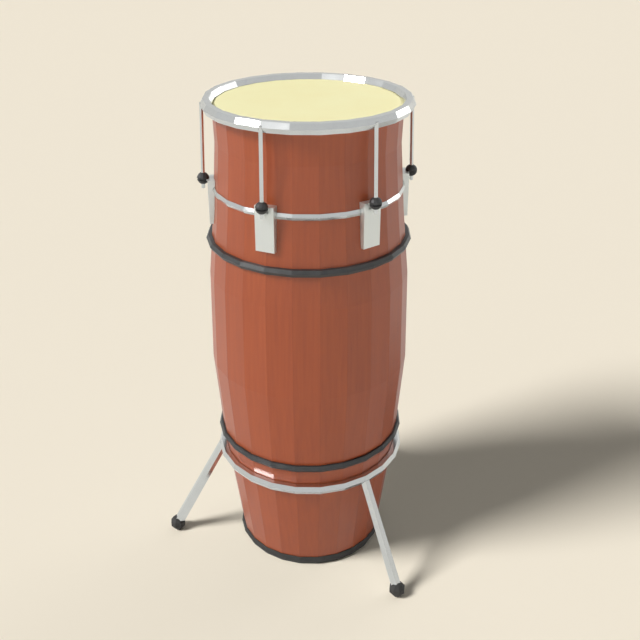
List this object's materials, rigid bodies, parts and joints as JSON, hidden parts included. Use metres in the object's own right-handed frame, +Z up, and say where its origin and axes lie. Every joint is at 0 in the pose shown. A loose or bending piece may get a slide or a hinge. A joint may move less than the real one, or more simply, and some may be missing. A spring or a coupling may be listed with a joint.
{
  "type": "conga",
  "caption": "Tall barrel hand drum with a skin head, chrome tuning rim, leaning tension rods with black ball nuts, lug plates and black hoops, standing in a legged chrome ring.",
  "frame": {"origin": "middle of the footprint, at floor level; the drum's axis is at x = 0, y = 0.0426 m", "axes": "+Z up, parallel to the drum's axis; -Y towards lug 1 and leg 1; +X to the right of someone who faces them"},
  "size_m": [0.4352, 0.4114, 0.7619],
  "materials": {
    "lacquered_wood": "satin lacquer",
    "rawhide": "matte",
    "chrome": "polished, lightly worn",
    "zinc_steel": "zinc plated",
    "satin_steel": "satin",
    "black_painted_steel": "satin black",
    "black_plastic": "matte black",
    "black_rubber": "matte black"
  },
  "bodies": {
    "stand": {"stand_ring": "chrome", "leg_1": "chrome", "leg_2": "chrome", "leg_3": "chrome", "foot_1": "black_rubber", "foot_2": "black_rubber", "foot_3": "black_rubber"},
    "drum": {"shell": "lacquered_wood", "lug_band": "chrome", "lug_plate_1": "satin_steel", "lug_plate_2": "satin_steel", "lug_plate_3": "satin_steel", "lug_plate_4": "satin_steel", "lug_plate_5": "satin_steel", "lug_plate_6": "satin_steel", "backing_block_1": "zinc_steel", "backing_block_2": "zinc_steel", "backing_block_3": "zinc_steel", "backing_block_4": "zinc_steel", "backing_block_5": "zinc_steel", "backing_block_6": "zinc_steel", "upper_lug_screw_1": "zinc_steel", "upper_lug_screw_2": "zinc_steel", "upper_lug_screw_3": "zinc_steel", "upper_lug_screw_4": "zinc_steel", "upper_lug_screw_5": "zinc_steel", "upper_lug_screw_6": "zinc_steel", "lower_lug_screw_1": "zinc_steel", "lower_lug_screw_2": "zinc_steel", "lower_lug_screw_3": "zinc_steel", "lower_lug_screw_4": "zinc_steel", "lower_lug_screw_5": "zinc_steel", "lower_lug_screw_6": "zinc_steel", "upper_hoop": "black_painted_steel", "lower_hoop": "black_painted_steel", "base_ring": "black_rubber"},
    "head_assembly": {"tuning_rim": "chrome", "drum_head": "rawhide", "flesh_hoop": "zinc_steel", "tension_rod_1": "chrome", "tension_rod_2": "chrome", "tension_rod_3": "chrome", "tension_rod_4": "chrome", "tension_rod_5": "chrome", "tension_rod_6": "chrome"},
    "nut_1": {"ball_nut_1": "black_plastic"},
    "nut_2": {"ball_nut_2": "black_plastic"},
    "nut_3": {"ball_nut_3": "black_plastic"},
    "nut_4": {"ball_nut_4": "black_plastic"},
    "nut_5": {"ball_nut_5": "black_plastic"},
    "nut_6": {"ball_nut_6": "black_plastic"}
  },
  "joints": [
    {"name": "drum_lift", "type": "slide", "parent": "stand", "child": "drum", "axis": [0, 0, 1], "range_m": [0, 0.2]},
    {"name": "head_release", "type": "slide", "parent": "drum", "child": "head_assembly", "axis": [0, 0, 1], "range_m": [0, 0.004]},
    {"name": "nut_1_turn", "type": "hinge", "parent": "drum", "child": "nut_1", "pos_m": [0, -0.11149, 0.6463], "axis": [0, -0.0344, -0.9994], "range_deg": [0, 1155]},
    {"name": "nut_2_turn", "type": "hinge", "parent": "drum", "child": "nut_2", "pos_m": [0.13346, -0.03443, 0.6463], "axis": [0.0298, -0.0172, -0.9994], "range_deg": [0, 1155]},
    {"name": "nut_3_turn", "type": "hinge", "parent": "drum", "child": "nut_3", "pos_m": [0.13346, 0.11968, 0.6463], "axis": [0.0298, 0.0172, -0.9994], "range_deg": [0, 1155]},
    {"name": "nut_4_turn", "type": "hinge", "parent": "drum", "child": "nut_4", "pos_m": [0, 0.19673, 0.6463], "axis": [0, 0.0344, -0.9994], "range_deg": [0, 1155]},
    {"name": "nut_5_turn", "type": "hinge", "parent": "drum", "child": "nut_5", "pos_m": [-0.13346, 0.11968, 0.6463], "axis": [-0.0298, 0.0172, -0.9994], "range_deg": [0, 1155]},
    {"name": "nut_6_turn", "type": "hinge", "parent": "drum", "child": "nut_6", "pos_m": [-0.13346, -0.03443, 0.6463], "axis": [-0.0298, -0.0172, -0.9994], "range_deg": [0, 1155]}
  ],
  "couplings": [
    {"joint": "nut_1_turn", "follows": "head_release", "rad_per_m": 5026.5},
    {"joint": "nut_2_turn", "follows": "head_release", "rad_per_m": 5026.5},
    {"joint": "nut_3_turn", "follows": "head_release", "rad_per_m": 5026.5},
    {"joint": "nut_4_turn", "follows": "head_release", "rad_per_m": 5026.5},
    {"joint": "nut_5_turn", "follows": "head_release", "rad_per_m": 5026.5},
    {"joint": "nut_6_turn", "follows": "head_release", "rad_per_m": 5026.5}
  ]
}
